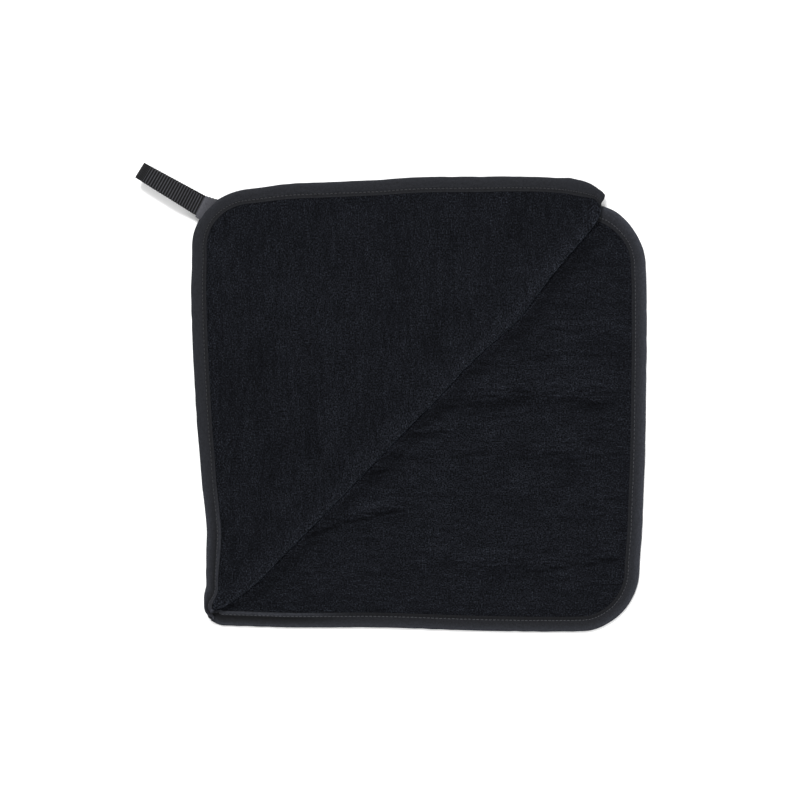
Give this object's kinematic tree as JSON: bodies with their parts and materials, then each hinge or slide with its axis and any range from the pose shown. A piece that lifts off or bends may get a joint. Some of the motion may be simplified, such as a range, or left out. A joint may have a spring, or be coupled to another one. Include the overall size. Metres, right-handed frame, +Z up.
{
  "type": "folded terry towel with hanging loop",
  "caption": "Thin bound terry towel folded in half, one corner of the top leaf turned back over the diagonal, ribbed webbing hanging loop on that corner.",
  "frame": {"origin": "middle of the lower leaf, on its underside, where the towel rests", "axes": "+Z up through the layers; +X from the fold between the leaves to the lower leaf's free side; +Y towards the edge the turned-back corner reaches"},
  "size_m": [0.407, 0.373, 0.0125],
  "materials": {
    "terry": "looped terry pile, black",
    "binding_tape": "plain woven tape, black",
    "thread": "spun sewing thread, black",
    "webbing": "cross-ribbed webbing, black",
    "loop_patch": "smooth woven tape, dark grey"
  },
  "bodies": {
    "base_leaf": {"base_terry": "terry", "base_binding": "binding_tape", "base_front_thread": "thread", "base_back_thread": "thread", "left_fold_terry": "terry", "left_fold_binding_upper": "binding_tape", "left_fold_binding_lower": "binding_tape"},
    "top_leaf": {"cover_terry": "terry", "cover_binding": "binding_tape", "cover_front_thread": "thread", "cover_back_thread": "thread", "diagonal_fold_terry": "terry", "diagonal_fold_binding_right": "binding_tape", "diagonal_fold_binding_left": "binding_tape"},
    "corner_flap": {"flap_terry": "terry", "flap_binding": "binding_tape", "flap_front_thread": "thread", "flap_back_thread": "thread", "binding_join": "binding_tape", "loop_root": "webbing", "loop_patch": "loop_patch"},
    "webbing_loop": {"hanging_loop": "webbing"}
  },
  "joints": [
    {"name": "left_fold", "type": "hinge", "parent": "base_leaf", "child": "top_leaf", "pos_m": [-0.175, 0, 0.00255], "axis": [0, -1, 0], "range_deg": [0, 180], "deforming": ["left_fold_terry", "left_fold_binding_upper", "left_fold_binding_lower"]},
    {"name": "diagonal_fold", "type": "hinge", "parent": "top_leaf", "child": "corner_flap", "pos_m": [-0.006, 0.005, 0.00525], "axis": [0.6934, 0.7206, 0], "range_deg": [0, 180], "deforming": ["diagonal_fold_terry", "diagonal_fold_binding_right", "diagonal_fold_binding_left"]},
    {"name": "loop_root_bend", "type": "hinge", "parent": "corner_flap", "child": "webbing_loop", "pos_m": [-0.1809, 0.1656, 0.0066], "axis": [0.524, 0.8517, 0], "range_deg": [0, 70]}
  ]
}
